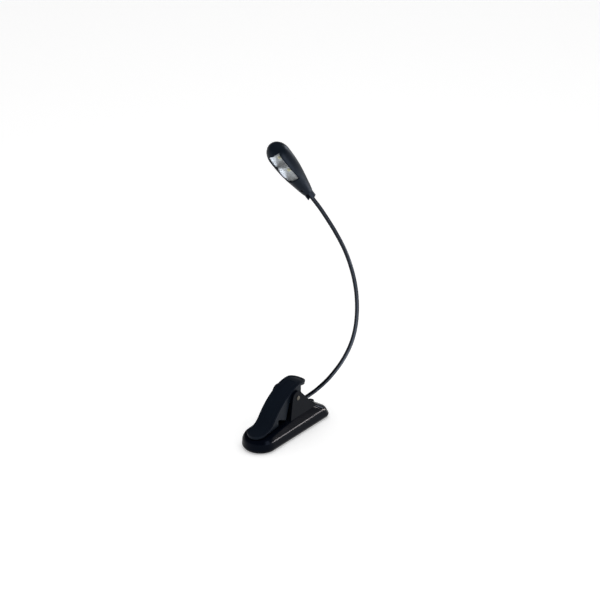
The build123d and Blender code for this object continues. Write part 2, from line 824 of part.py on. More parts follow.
collar_end = on_neck_plane(-10.6, 250.9)
route = [
    Vector(neck_start_x, 0, neck_axis_z),
    Vector(46.5, 0, 24.1),
    Vector(57.5, -4.6, 30.4),
    on_neck_plane(14.0, 40.3),
    on_neck_plane(28.0, 61.5),
    on_neck_plane(37.4, 86.3),
    on_neck_plane(40.6, 114.7),
    on_neck_plane(38.6, 146.2),
    on_neck_plane(30.3, 178.5),
    on_neck_plane(18.2, 205.0),
    on_neck_plane(3.2, 230.9),
    collar_end,
]
# the neck is split at the middle of these runs, where it can bend
hinge_runs = (2, 4, 6, 8, 10)


def run_middle(run):
    return (route[run] + route[run + 1]) / 2


def link_points(first, last):
    """The route of one link: from the middle of a run to the middle of a later one."""
    start = route[0] if first is None else run_middle(first)
    end = route[-1] if last is None else run_middle(last)
    corners = route[(0 if first is None else first) + 1 : (len(route) - 2 if last is None else last) + 1]
    return [start, *corners, end]


def bend_radii(points):
    """As large an arc at each corner as its two runs allow."""
    radii = []
    for before, corner, after in zip(points, points[1:], points[2:]):
        turn = math.radians((corner - before).get_angle(after - corner))
        index = route.index(corner)
        run = min((corner - route[index - 1]).length, (route[index + 1] - corner).length)
        radii.append(bend_share * run / math.tan(turn / 2))
    return radii


def link_rod(points, radius):
    """A round rod along one link."""
    with BuildPart(mode=Mode.PRIVATE) as rod:
        with BuildLine() as path:
            if len(points) > 2:
                FilletPolyline(*points, radius=bend_radii(points))
            else:
                Line(*points)
        with BuildSketch(Plane(origin=path.line @ 0, z_dir=path.line % 0)):
            Circle(radius)
        sweep()
    return rod.part


def ball(centre, radius):
    return Pos(*centre) * Sphere(radius, mode=Mode.PRIVATE)


link_ends = [(None, hinge_runs[0]), *zip(hinge_runs, hinge_runs[1:]), (hinge_runs[-1], None)]
sleeve_radius = neck_diameter / 2
core_end_gap = 1.2
for number, (first, last) in enumerate(link_ends, start=1):
    points = link_points(first, last)
    print(f"neck link {number}: bend radii", [round(radius) for radius in bend_radii(points)])
    with BuildPart() as neck_core:
        add(link_rod(points, core_diameter / 2))
        if first is not None:
            add(ball(points[0], sleeve_radius + link_gap + core_end_gap), mode=Mode.SUBTRACT)
        if last is not None:
            add(ball(points[-1], core_end_gap), mode=Mode.SUBTRACT)
    save(neck_core, f"neck_core_{number}")
    with BuildPart() as neck_sleeve:
        add(link_rod(points, sleeve_radius))
        if last is not None:
            add(ball(points[-1], sleeve_radius))
        if first is not None:
            add(ball(points[0], sleeve_radius + link_gap), mode=Mode.SUBTRACT)
        add(neck_core.part, mode=Mode.SUBTRACT)
    save(neck_sleeve, f"neck_sleeve_{number}")

# ---- crimped ferrule in the socket ----
with BuildPart() as neck_ferrule:
    with BuildSketch(Plane.YZ.offset(socket_start_x + 1.5)):
        with Locations((0, neck_axis_z)):
            Circle(ferrule_radius)
    extrude(amount=socket_length)
    add(link_rod(link_points(None, hinge_runs[0]), sleeve_radius), mode=Mode.SUBTRACT)
save(neck_ferrule, "neck_ferrule")


# ======================= head =======================
head_axis = (route[-1] - route[-2]).normalized()
window_normal = (lamp_aim - head_axis * lamp_aim.dot(head_axis)).normalized()
head_root = route[-1]
profile_plane = Plane(head_root, x_dir=head_axis, z_dir=head_axis.cross(window_normal))
cross_plane = Plane(head_root, x_dir=window_normal, z_dir=head_axis)


def window_level(height):
    """The plane of the window at a height above the axis; its x runs along the head."""
    return Plane(head_root + window_normal * height, x_dir=head_axis, z_dir=window_normal)


def head_solid(inset):
    """The teardrop of the head, shrunk evenly by inset."""
    with BuildPart(mode=Mode.PRIVATE) as teardrop:
        with BuildSketch(profile_plane):
            with BuildLine():
                Line((inset, 0), (inset, head_root_radius - inset))
                Spline(
                    (inset, head_root_radius - inset),
                    (13.0, 8.2 - inset),
                    (28.0, 10.8 - inset),
                    (head_round_start, head_radius - inset),
                    tangents=((1, 0.26), (1, 0)),
                )
                EllipticalCenterArc(
                    (head_round_start, 0),
                    head_length - head_round_start - inset,
                    head_radius - inset,
                    arc_size=90,
                )
                Line((head_length - inset, 0), (inset, 0))
            make_face()
        revolve(axis=Axis(head_root, head_axis))
    return teardrop.part


def window_outline(grow):
    """The window: one straight side, one side of two shallow lobes, a rounded lower corner."""
    low = window_start - grow
    high = window_end + grow
    side = window_half_width + grow
    lobe_side = side + window_lobe
    corner_x = low + window_corner
    turn = window_corner * (1 - math.sqrt(0.5))
    with BuildLine() as outline:
        Line((low, side - window_corner), (low, -side))
        Line((low, -side), (high, -side))
        Line((high, -side), (high, side))
        ThreePointArc((high, side), ((led_middle + high) / 2, lobe_side), (led_middle, side))
        ThreePointArc((led_middle, side), ((led_middle + corner_x) / 2, lobe_side), (corner_x, side))
        ThreePointArc((corner_x, side), (low + turn, side - turn), (low, side - window_corner))
    make_face(outline.edges())


head_outer = head_solid(0)
head_inner = head_solid(head_wall)
led_places = (led_middle - led_spacing / 2, led_middle + led_spacing / 2)
reflector_top = lens_top - lens_thickness
reflector_floor = reflector_top - reflector_depth

# ---- the two shells of the head, with a screw post and two ribs for the board ----
with BuildPart(mode=Mode.PRIVATE) as head_casing:
    add(head_outer)
    add(head_inner, mode=Mode.SUBTRACT)
    with BuildPart(mode=Mode.PRIVATE) as head_post:
        with BuildSketch(window_level(0)):
            with Locations((head_screw_t, 0)):
                Circle(head_post_radius)
        extrude(amount=head_radius, both=True)
        add(head_inner, mode=Mode.INTERSECT)
    add(head_post.part)

with BuildPart() as head_back_shell:
    add(head_casing.part)
    with BuildPart(mode=Mode.PRIVATE) as ribs:
        with BuildSketch(window_level(0)):
            with Locations(*[(place, 0) for place in led_places]):
                Rectangle(head_rib_thickness, 2 * head_radius)
        extrude(amount=-head_radius)
        add(head_inner, mode=Mode.INTERSECT)
    add(ribs.part)
    split(bisect_by=window_level(0), keep=Keep.BOTTOM)
    with BuildSketch(window_level(0)):
        with Locations((head_screw_t, 0)):
            Circle(head_screw_radius)
    extrude(amount=-head_screw_grip, mode=Mode.SUBTRACT)
save(head_back_shell, "head_back_shell")


def on_window_edge(edge):
    """Whether an edge lies on the outside of the head, inside the length of the window."""
    along = (edge.center() - head_root).dot(head_axis)
    points = [Vertex(*(edge @ share)) for share in (0.1, 0.5, 0.9)]
    skin_gap = max(point.distance_to(head_outer.shells()[0]) for point in points)
    is_window = (edge.center() - head_root).dot(window_normal) > head_radius / 2
    return skin_gap < tolerance and window_start - 1 < along < window_end + 1 and is_window


with BuildPart() as head_front_shell:
    add(head_casing.part)
    split(bisect_by=window_level(0), keep=Keep.TOP)
    with BuildSketch(window_level(0)):
        window_outline(0)
    extrude(amount=far, mode=Mode.SUBTRACT)
    fillet(head_front_shell.edges().filter_by(on_window_edge), window_edge_radius)
    with BuildSketch(window_level(0)):
        with Locations((head_screw_t, 0)):
            Circle(head_screw_radius + small_gap)
    extrude(amount=far, mode=Mode.SUBTRACT)
    with BuildSketch(window_level(head_screw_seat)):
        with Locations((head_screw_t, 0)):
            Circle(head_screw_head_radius + small_gap)
    extrude(amount=far, mode=Mode.SUBTRACT)
save(head_front_shell, "head_front_shell")

# ---- screw that holds the two shells together ----
with BuildPart() as head_screw:
    with BuildSketch(window_level(head_screw_seat)):
        with Locations((head_screw_t, 0)):
            Circle(head_screw_head_radius)
    extrude(amount=head_screw_head_height)
    with BuildSketch(window_level(head_screw_seat)):
        with Locations((head_screw_t, 0)):
            Circle(head_screw_radius)
    extrude(amount=-head_screw_seat - head_screw_grip)
    with BuildSketch(window_level(head_screw_seat + head_screw_head_height)):
        with Locations((head_screw_t, 0)):
            Rectangle(1.8, 0.5)
            Rectangle(0.5, 1.8)
    extrude(amount=-0.6, mode=Mode.SUBTRACT)
save(head_screw, "head_screw")

# ---- reflector: one plated moulding with a round cup for each lamp ----
with BuildPart() as reflector:
    with BuildSketch(window_level(reflector_floor)):
        window_outline(reflector_rim)
    extrude(amount=reflector_depth)
    add(head_solid(head_wall + small_gap), mode=Mode.INTERSECT)
    for place in led_places:
        cup_plane = Plane(head_root + head_axis * place, x_dir=head_axis, z_dir=profile_plane.z_dir)
        control_height = reflector_depth * cup_floor_radius / (cup_radius + cup_floor_radius)
        with BuildSketch(cup_plane):
            with BuildLine():
                Bezier(
                    (cup_floor_radius, reflector_floor),
                    ((cup_floor_radius + cup_radius) / 2, reflector_floor + control_height),
                    (cup_radius, reflector_top),
                )
                Line((cup_radius, reflector_top), (0, reflector_top))
                Line((0, reflector_top), (0, reflector_floor))
                Line((0, reflector_floor), (cup_floor_radius, reflector_floor))
            make_face()
        revolve(axis=Axis(cup_plane.origin, window_normal), mode=Mode.SUBTRACT)
save(reflector, "reflector")

# ---- clear lens, flush in the window ----
with BuildPart() as lens:
    with BuildSketch(window_level(reflector_top)):
        window_outline(-small_gap)
    extrude(amount=lens_thickness)
    add(head_outer, mode=Mode.INTERSECT)
save(lens, "lens")

# ---- board of the lamps and the two lamps on it ----
with BuildPart() as led_board:
    with BuildSketch(window_level(0)):
        with Locations((led_middle, 0)):
            RectangleRounded(led_board_length, led_board_width, 2.0)
    extrude(amount=led_board_thickness)
save(led_board, "led_board")

with BuildPart() as leds:
    with BuildSketch(window_level(led_board_thickness)):
        with Locations(*[(place, 0) for place in led_places]):
            Rectangle(3.4, 2.8)
    extrude(amount=1.0)
    with BuildSketch(window_level(led_board_thickness + 1.0)):
        with Locations(*[(place, 0) for place in led_places]):
            Circle(1.2)
    extrude(amount=0.6, taper=30)
save(leds, "leds")

# ---- collar between the neck and the head ----
with BuildPart() as head_collar:
    with BuildSketch(cross_plane):
        Circle(collar_radius)
        Circle(sleeve_radius, mode=Mode.SUBTRACT)
    extrude(amount=-collar_length)
    # open groove on the side of the window, in which the neck shows
    with BuildSketch(cross_plane):
        with Locations((collar_radius, 0)):
            Rectangle(2 * collar_radius, neck_diameter)
    extrude(amount=-collar_length, mode=Mode.SUBTRACT)
    chamfer(head_collar.edges().filter_by(GeomType.CIRCLE).sort_by(Axis(head_root, head_axis))[0:2], 0.5)
save(head_collar, "head_collar")
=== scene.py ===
import json
import logging
import math
from dataclasses import dataclass
from enum import Enum
from typing import Any

import bmesh
import bpy
from mathutils import Matrix, Vector


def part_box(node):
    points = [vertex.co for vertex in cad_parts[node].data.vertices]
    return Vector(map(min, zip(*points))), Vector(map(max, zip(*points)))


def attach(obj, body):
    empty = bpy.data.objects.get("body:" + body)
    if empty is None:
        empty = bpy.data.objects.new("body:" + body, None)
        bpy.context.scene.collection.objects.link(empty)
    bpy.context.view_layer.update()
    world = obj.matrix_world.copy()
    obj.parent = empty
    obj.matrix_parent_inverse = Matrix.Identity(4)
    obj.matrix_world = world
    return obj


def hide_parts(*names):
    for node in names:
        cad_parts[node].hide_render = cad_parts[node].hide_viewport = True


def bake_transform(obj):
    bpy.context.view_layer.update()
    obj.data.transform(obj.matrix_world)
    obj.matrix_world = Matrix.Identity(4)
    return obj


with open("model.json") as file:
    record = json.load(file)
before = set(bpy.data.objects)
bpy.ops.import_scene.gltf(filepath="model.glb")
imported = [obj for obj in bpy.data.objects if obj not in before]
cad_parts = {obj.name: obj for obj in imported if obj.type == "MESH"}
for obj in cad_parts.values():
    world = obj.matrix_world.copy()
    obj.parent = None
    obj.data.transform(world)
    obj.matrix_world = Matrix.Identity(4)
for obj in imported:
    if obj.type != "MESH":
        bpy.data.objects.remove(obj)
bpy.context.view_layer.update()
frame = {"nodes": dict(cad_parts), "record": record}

# Clip-on reading lamp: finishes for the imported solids, and the fine pieces that they can't hold.
# Everything is in metres, in the frame of the solids.

MM = 0.001
# Edges sharper than these stay sharp: on the skins of the mouldings, and on the small pieces.
SKIN_SHARP = math.radians(28)
PIECE_SHARP = math.radians(35)
# Most of a noise texture lies between these values.
NOISE_LOW = 0.3
NOISE_HIGH = 0.7
# Points of a solid's triangles closer than this are one point.
SKIN_WELD = 0.002 * MM
TINY = 1e-6
WHITE = "FFFFFF"
log = logging.getLogger("reading_lamp")


class Body(Enum):
    """The rigid bodies that the dressed pieces ride on."""

    BASE = "base"
    COVER = "battery_cover"
    BUTTON = "button"
    LEVER = "lever"
    HEAD = "head"
    LINK_2 = "neck_link_2"
    LINK_3 = "neck_link_3"
    LINK_4 = "neck_link_4"
    LINK_5 = "neck_link_5"


# ---------------------------------------------------------------- materials


def srgb(code: str) -> tuple[float, float, float, float]:
    """Turn an sRGB hex value into a linear colour.

    Args:
        code: six hex digits.

    Returns:
        Linear red, green, blue and an alpha of 1.
    """
    parts = [int(code[place : place + 2], 16) / 255 for place in (0, 2, 4)]
    linear = [part / 12.92 if part <= 0.04045 else ((part + 0.055) / 1.055) ** 2.4 for part in parts]
    return (*linear, 1.0)


def add_node(tree: bpy.types.NodeTree, kind: str, settings: dict[str, Any], **inputs: Any) -> Any:
    """Add one shader node with its settings, values and links.

    Args:
        tree: the node tree that gets the node.
        kind: the node's type name.
        settings: properties of the node itself.
        **inputs: values or output sockets for its inputs, by name with _ for a space, or by in0, in1.

    Returns:
        The new node.
    """
    made = tree.nodes.new(kind)
    for name, value in settings.items():
        setattr(made, name, value)
    for name, value in inputs.items():
        by_number = name[:2] == "in" and name[2:].isdigit()
        socket = made.inputs[int(name[2:]) if by_number else name.replace("_", " ")]
        if isinstance(value, bpy.types.NodeSocket):
            tree.links.new(value, socket)
        else:
            socket.default_value = value
    return made


def new_material(name: str) -> tuple[bpy.types.Material, bpy.types.NodeTree, Any]:
    """Make an empty material.

    Args:
        name: its name.

    Returns:
        The material, its node tree and its output node.
    """
    material = bpy.data.materials.new(name)
    material.use_nodes = True
    material.node_tree.nodes.clear()
    return material, material.node_tree, add_node(material.node_tree, "ShaderNodeOutputMaterial", {})


@dataclass(frozen=True)
class Moulding:
    """A moulded plastic or rubber, with the grain of its mould and slight unevenness.

    colour and tint are the two ends of a faint flow mark and flow_mm its size. grain_mm is the size
    of the mould's texture, grain_depth_mm how deep it goes, and edge_mm how far edges are broken.
    gloss is how much of the plain reflection is left, of which 0.5 is all, and cast its colour.
    """

    name: str
    colour: str
    tint: str
    roughness: float
    grain_mm: float
    grain_depth_mm: float
    edge_mm: float = 0.25
    spread: float = 0.06
    ior: float = 1.5
    gloss: float = 0.5
    cast: str = WHITE
    flow_mm: float = 22.0

    def build(self) -> bpy.types.Material:
        """Make the material.

        Returns:
            The finished material.
        """
        material, tree, output = new_material(self.name)
        place = add_node(tree, "ShaderNodeTexCoord", {}).outputs["Object"]
        flow_scale = 1 / (self.flow_mm * MM)
        grain_scale = 1 / (self.grain_mm * MM)
        flow = add_node(tree, "ShaderNodeTexNoise", {}, Vector=place, Scale=flow_scale, Detail=3.0)
        grain = add_node(tree, "ShaderNodeTexNoise", {}, Vector=place, Scale=grain_scale, Detail=2.0)
        colour = add_node(
            tree,
            "ShaderNodeMix",
            {"data_type": "RGBA"},
            in0=flow.outputs["Fac"],
            in6=srgb(self.colour),
            in7=srgb(self.tint),
        )
        rough = add_node(
            tree,
            "ShaderNodeMapRange",
            {},
            Value=flow.outputs["Fac"],
            From_Min=NOISE_LOW,
            From_Max=NOISE_HIGH,
            To_Min=self.roughness - self.spread / 2,
            To_Max=self.roughness + self.spread / 2,
        )
        bump = add_node(
            tree,
            "ShaderNodeBump",
            {},
            Strength=1.0,
            Distance=self.grain_depth_mm * MM,
            Height=grain.outputs["Fac"],
        )
        if self.edge_mm:
            broken = add_node(tree, "ShaderNodeBevel", {"samples": 8}, Radius=self.edge_mm * MM)
            tree.links.new(broken.outputs["Normal"], bump.inputs["Normal"])
        shader = add_node(
            tree,
            "ShaderNodeBsdfPrincipled",
            {},
            Base_Color=colour.outputs[2],
            Roughness=rough.outputs["Result"],
            IOR=self.ior,
            Specular_IOR_Level=self.gloss,
            Specular_Tint=srgb(self.cast),
            Normal=bump.outputs["Normal"],
        )
        tree.links.new(shader.outputs["BSDF"], output.inputs["Surface"])
        return material


@dataclass(frozen=True)
class Metal:
    """A bare or plated metal, with the marks of how it was worked.

    marks_mm is the spacing of the marks, marks_depth_mm how deep they go, and a stretch below 1
    draws them out along that axis. duller and brighter are how far they change the roughness.
    """

    name: str
    colour: str
    roughness: float
    marks_mm: float
    marks_depth_mm: float
    stretch: tuple[float, float, float] = (1.0, 1.0, 1.0)
    brighter: float = 0.8
    duller: float = 1.25

    def build(self) -> bpy.types.Material:
        """Make the material.

        Returns:
            The finished material.
        """
        material, tree, output = new_material(self.name)
        place = add_node(tree, "ShaderNodeTexCoord", {}).outputs["Object"]
        turned = add_node(tree, "ShaderNodeMapping", {}, Vector=place, Scale=self.stretch)
        marks = add_node(
            tree,
            "ShaderNodeTexNoise",
            {},
            Vector=turned.outputs["Vector"],
            Scale=1 / (self.marks_mm * MM),
            Detail=3.0,
        )
        rough = add_node(
            tree,
            "ShaderNodeMapRange",
            {},
            Value=marks.outputs["Fac"],
            From_Min=NOISE_LOW,
            From_Max=NOISE_HIGH,
            To_Min=self.roughness * self.brighter,
            To_Max=self.roughness * self.duller,
        )
        bump = add_node(
            tree,
            "ShaderNodeBump",
            {},
            Strength=1.0,
            Distance=self.marks_depth_mm * MM,
            Height=marks.outputs["Fac"],
        )
        shader = add_node(
            tree,
            "ShaderNodeBsdfPrincipled",
            {},
            Base_Color=srgb(self.colour),
            Metallic=1.0,
            Roughness=rough.outputs["Result"],
            Normal=bump.outputs["Normal"],
        )
        tree.links.new(shader.outputs["BSDF"], output.inputs["Surface"])
        return material


@dataclass(frozen=True)
class ClearPlastic:
    """A clear moulded plate with a faint ripple.

    Its own shadow is left out, so that what stands behind it stays lit.
    """

    name: str
    colour: str
    roughness: float
    ior: float
    ripple_mm: float = 9.0
    ripple_depth_mm: float = 0.02
    ripple_strength: float = 0.4

    def build(self) -> bpy.types.Material:
        """Make the material.

        Returns:
            The finished material.
        """
        material, tree, output = new_material(self.name)
        place = add_node(tree, "ShaderNodeTexCoord", {}).outputs["Object"]
        ripple_scale = 1 / (self.ripple_mm * MM)
        ripple = add_node(tree, "ShaderNodeTexNoise", {}, Vector=place, Scale=ripple_scale, Detail=1.0)
        bump = add_node(
            tree,
            "ShaderNodeBump",
            {},
            Strength=self.ripple_strength,
            Distance=self.ripple_depth_mm * MM,
            Height=ripple.outputs["Fac"],
        )
        shader = add_node(
            tree,
            "ShaderNodeBsdfPrincipled",
            {},
            Base_Color=srgb(self.colour),
            Roughness=self.roughness,
            IOR=self.ior,
            Transmission_Weight=1.0,
            Normal=bump.outputs["Normal"],
        )
        through = add_node(tree, "ShaderNodeBsdfTransparent", {})
        ray = add_node(tree, "ShaderNodeLightPath", {})
        mixed = add_node(
            tree,
            "ShaderNodeMixShader",
            {},
            in0=ray.outputs["Is Shadow Ray"],
            in1=shader.outputs["BSDF"],
            in2=through.outputs["BSDF"],
        )
        tree.links.new(mixed.outputs["Shader"], output.inputs["Surface"])
        return material


class Finishes:
    """Every finish of the lamp, by the name of its slot in the record."""

    # Polished ABS: a deep near black with a blue cast, and long soft-edged reflections.
    HOUSING = Moulding(
        "Polished black ABS", "03060E", "060A13",
        roughness=0.21, grain_mm=0.5, grain_depth_mm=0.0008, edge_mm=0.0, spread=0.02, gloss=0.055,
        cast="D0E0FF",
    )
    # Spark-eroded ABS: the same black under a fine texture, which spreads highlights into a grey sheen.
    LEVER = Moulding(
        "Spark-eroded black ABS", "0E141D", "111822",
        roughness=0.36, grain_mm=0.35, grain_depth_mm=0.006, edge_mm=0.3, spread=0.05, gloss=0.12,
        cast="D8E8FF",
    )
    # Satin ABS of the head: a blue-grey black that goes lighter towards its outline.
    HEAD = Moulding(
        "Satin blue-black ABS", "10171F", "141B25",
        roughness=0.36, grain_mm=0.35, grain_depth_mm=0.003, edge_mm=0.3, spread=0.05, gloss=0.14,
        cast="DCEAFF",
    )
    # Plain moulded ABS inside the case: flat and a little greyer.
    INNER = Moulding(
        "Plain moulded black ABS", "1B1C1E", "222325",
        roughness=0.55, grain_mm=0.8, grain_depth_mm=0.01,
    )
    # Glass-filled nylon collar: grey, with the dry look of short fibres.
    COLLAR = Moulding(
        "Glass-filled nylon", "1C232D", "232A34",
        roughness=0.42, grain_mm=0.3, grain_depth_mm=0.008, gloss=0.2, cast="DCEAFF",
    )
    # Extruded PVC sleeve: smooth black with a tight highlight along it.
    SLEEVE = Moulding(
        "Extruded black PVC", "04060B", "070A10",
        roughness=0.26, grain_mm=0.6, grain_depth_mm=0.002, edge_mm=0.0, spread=0.04, gloss=0.16,
        cast="DCEAFF",
    )
    # Thermoplastic rubber: matt, with a pebbled grip texture.
    RUBBER = Moulding(
        "Pebbled black rubber", "131416", "1B1C1F",
        roughness=0.78, grain_mm=0.6, grain_depth_mm=0.05, edge_mm=0.2, spread=0.08,
    )
    # Zinc-plated steel screws: bluish silver with fine swirls.
    SCREW = Metal("Zinc-plated steel", "A9AEB4", roughness=0.3, marks_mm=0.3, marks_depth_mm=0.004)
    # Turned steel pin, a little brownish from its oil film.
    PIN = Metal(
        "Turned steel", "5C5850",
        roughness=0.4, marks_mm=0.25, marks_depth_mm=0.003, stretch=(1.0, 0.1, 1.0),
    )
    # Hard-drawn spring wire: dark silver with long drawing marks.
    SPRING = Metal("Drawn spring steel", "8E9094", roughness=0.32, marks_mm=0.4, marks_depth_mm=0.004)
    # Screw of the head: steel given a dark colour that paints the shade of its recess.
    RECESS_SHADED_SCREW = Metal(
        "Steel darkened as recess shade", "4A4D52",
        roughness=0.3, marks_mm=0.3, marks_depth_mm=0.004,
    )
    # Annealed wire under the sleeve: dull grey, with drawing marks.
    CORE = Metal("Annealed steel wire", "77797C", roughness=0.45, marks_mm=0.5, marks_depth_mm=0.006)
    # Nickel-plated brass ferrule: silver with a little yellow in it.
    FERRULE = Metal("Nickel-plated brass", "B8B3A6", roughness=0.28, marks_mm=0.3, marks_depth_mm=0.003)
    # Nickel-plated contacts: bright with a warm cast.
    NICKEL = Metal("Nickel plate", "BDB9B0", roughness=0.25, marks_mm=0.3, marks_depth_mm=0.003)
    # Shrunk PET sleeve of the cells: plain grey, semi-gloss.
    CELL = Moulding(
        "Shrunk PET sleeve", "5B6066", "666B72",
        roughness=0.3, grain_mm=1.2, grain_depth_mm=0.004, ior=1.55,
    )
    # Green solder mask over glass cloth, whose weave shows faintly.
    BOARD = Moulding(
        "Green solder mask", "0E4A2A", "12552F",
        roughness=0.35, grain_mm=0.4, grain_depth_mm=0.01,
    )
    # White solder mask of the lamp board, which throws stray light forward.
    WHITE_BOARD = Moulding(
        "White solder mask", "E9EAE6", "F1F1EE",
        roughness=0.4, grain_mm=0.4, grain_depth_mm=0.006,
    )
    # Glass-filled PBT of the switch: dull black, dried by its fibres.
    SWITCH = Moulding(
        "Glass-filled PBT", "1C1C1D", "242425",
        roughness=0.5, grain_mm=0.4, grain_depth_mm=0.01,
    )
    # White acetal of the plunger: milky and slightly waxy.
    PLUNGER = Moulding(
        "White acetal", "DAD9D3", "E2E1DC",
        roughness=0.4, grain_mm=0.5, grain_depth_mm=0.004, ior=1.48,
    )
    # Moulded epoxy of the components: matt charcoal.
    COMPONENT = Moulding(
        "Black moulded epoxy", "1E1F20", "29292A",
        roughness=0.6, grain_mm=0.3, grain_depth_mm=0.01,
    )
    # Vacuum-plated aluminium over ABS: a cool mirror, slightly soft.
    MIRROR = Metal(
        "Vacuum-plated aluminium", "A6A9AD",
        roughness=0.4, marks_mm=1.2, marks_depth_mm=0.01,
    )
    # Clear polycarbonate plate: hardly seen, but for one soft glint.
    LENS = ClearPlastic("Clear polycarbonate", "FAFCFC", roughness=0.03, ior=1.45)
    # Ceramic body of the lamps: clean white with a low gloss.
    CERAMIC = Moulding(
        "White ceramic", "E8E8E2", "F2F2EC",
        roughness=0.35, grain_mm=0.3, grain_depth_mm=0.004,
    )
    # Silicone filled with phosphor: pale yellow, waxy.
    PHOSPHOR = Moulding(
        "Phosphor-filled silicone", "FBF3B4", "FFF8CC",
        roughness=0.3, grain_mm=0.4, grain_depth_mm=0.003, ior=1.45,
    )

    BY_SLOT = {
        "gloss_housing": HOUSING,
        "satin_black": LEVER,
        "inner_moulding": INNER,
        "collar_black": COLLAR,
        "neck_sleeve": SLEEVE,
        "grip_rubber": RUBBER,
        "zinc_screw": SCREW,
        "polished_steel": PIN,
        "spring_steel": SPRING,
        "neck_wire": CORE,
        "ferrule_metal": FERRULE,
        "nickel": NICKEL,
        "cell_sleeve": CELL,
        "board": BOARD,
        "white_board": WHITE_BOARD,
        "switch_black": SWITCH,
        "switch_white": PLUNGER,
        "component": COMPONENT,
        "mirror_plating": MIRROR,
        "clear_lens": LENS,
        "lamp_chip": CERAMIC,
    }

    def __init__(self) -> None:
        """Start with no material made."""
        self.made: dict[str, bpy.types.Material] = {}

    def get(self, finish: Moulding | Metal | ClearPlastic) -> bpy.types.Material:
        """Give the material of a finish, made once.

        Args:
            finish: which finish.

        Returns:
            Its material.
        """
        if finish.name not in self.made:
            self.made[finish.name] = finish.build()
        return self.made[finish.name]

    def dress(self, piece: bpy.types.Object, finish: Moulding | Metal | ClearPlastic) -> None:
        """Give a piece one finish all over.

        Args:
            piece: the piece or solid.
            finish: its finish.
        """
        piece.data.materials.clear()
        piece.data.materials.append(self.get(finish))


# ---------------------------------------------------------------- mesh helpers


def shade_smooth(mesh: bmesh.types.BMesh, sharp_angle: float) -> None:
    """Shade every face smooth, and keep open edges and sharp ones crisp.

    Args:
        mesh: the bmesh.
        sharp_angle: edges sharper than this stay crisp.
    """
    for face in mesh.faces:
        face.smooth = True
    for edge in mesh.edges:
        edge.smooth = len(edge.link_faces) == 2 and edge.calc_face_angle(0.0) < sharp_angle


def link_piece(mesh: bmesh.types.BMesh, name: str) -> bpy.types.Object:
    """Put a bmesh into the scene as an object at the origin.

    Args:
        mesh: the bmesh, which is freed.
        name: the piece's name.

    Returns:
        The new object.
    """
    data = bpy.data.meshes.new(name)
    mesh.to_mesh(data)
    mesh.free()
    piece = bpy.data.objects.new(name, data)
    bpy.context.scene.collection.objects.link(piece)
    return piece


def to_piece(
    mesh: bmesh.types.BMesh, name: str, sharp_angle: float | None = PIECE_SHARP
) -> bpy.types.Object:
    """Turn a bmesh into a finished object at the origin, with its faces outwards.

    Args:
        mesh: the bmesh, which is freed.
        name: the piece's name.
        sharp_angle: edges sharper than this stay sharp; None leaves every facet flat.

    Returns:
        The new object.
    """
    bmesh.ops.recalc_face_normals(mesh, faces=mesh.faces)
    if sharp_angle is not None:
        shade_smooth(mesh, sharp_angle)
    return link_piece(mesh, name)


def smooth_skin(
    node: str, body: Body, finishes: Finishes, finish: Moulding
) -> bpy.types.Object:
    """Stand a smoothly shaded copy of a moulding in for its solid.

    Args:
        node: the solid's node.
        body: the body that it belongs to.
        finishes: the lamp's finishes.
        finish: its finish.

    Returns:
        The copy.
    """
    mesh = bmesh.new()
    mesh.from_mesh(frame["nodes"][node].data)
    bmesh.ops.remove_doubles(mesh, verts=mesh.verts, dist=SKIN_WELD)
    shade_smooth(mesh, SKIN_SHARP)
    piece = link_piece(mesh, node + "_skin")
    weighted = piece.modifiers.new("weighted_normals", "WEIGHTED_NORMAL")
    weighted.mode = "FACE_AREA"
    weighted.keep_sharp = True
    finishes.dress(piece, finish)
    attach(piece, body.value)
    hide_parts(node)
    log.info("%s: %d faces", piece.name, len(piece.data.polygons))
    return piece


def frame_at(origin: Vector, along: Vector, side: Vector) -> Matrix:
    """Give the matrix of a place whose z runs along one direction and x towards another.

    Args:
        origin: the place.
        along: the direction of z.
        side: the direction nearest to x.

    Returns:
        The matrix.
    """
    up = along.normalized()
    across = (side - up * side.dot(up)).normalized()
    turn = Matrix((across, up.cross(across), up)).transposed()
    return Matrix.Translation(origin) @ turn.to_4x4()


# ---------------------------------------------------------------- neck


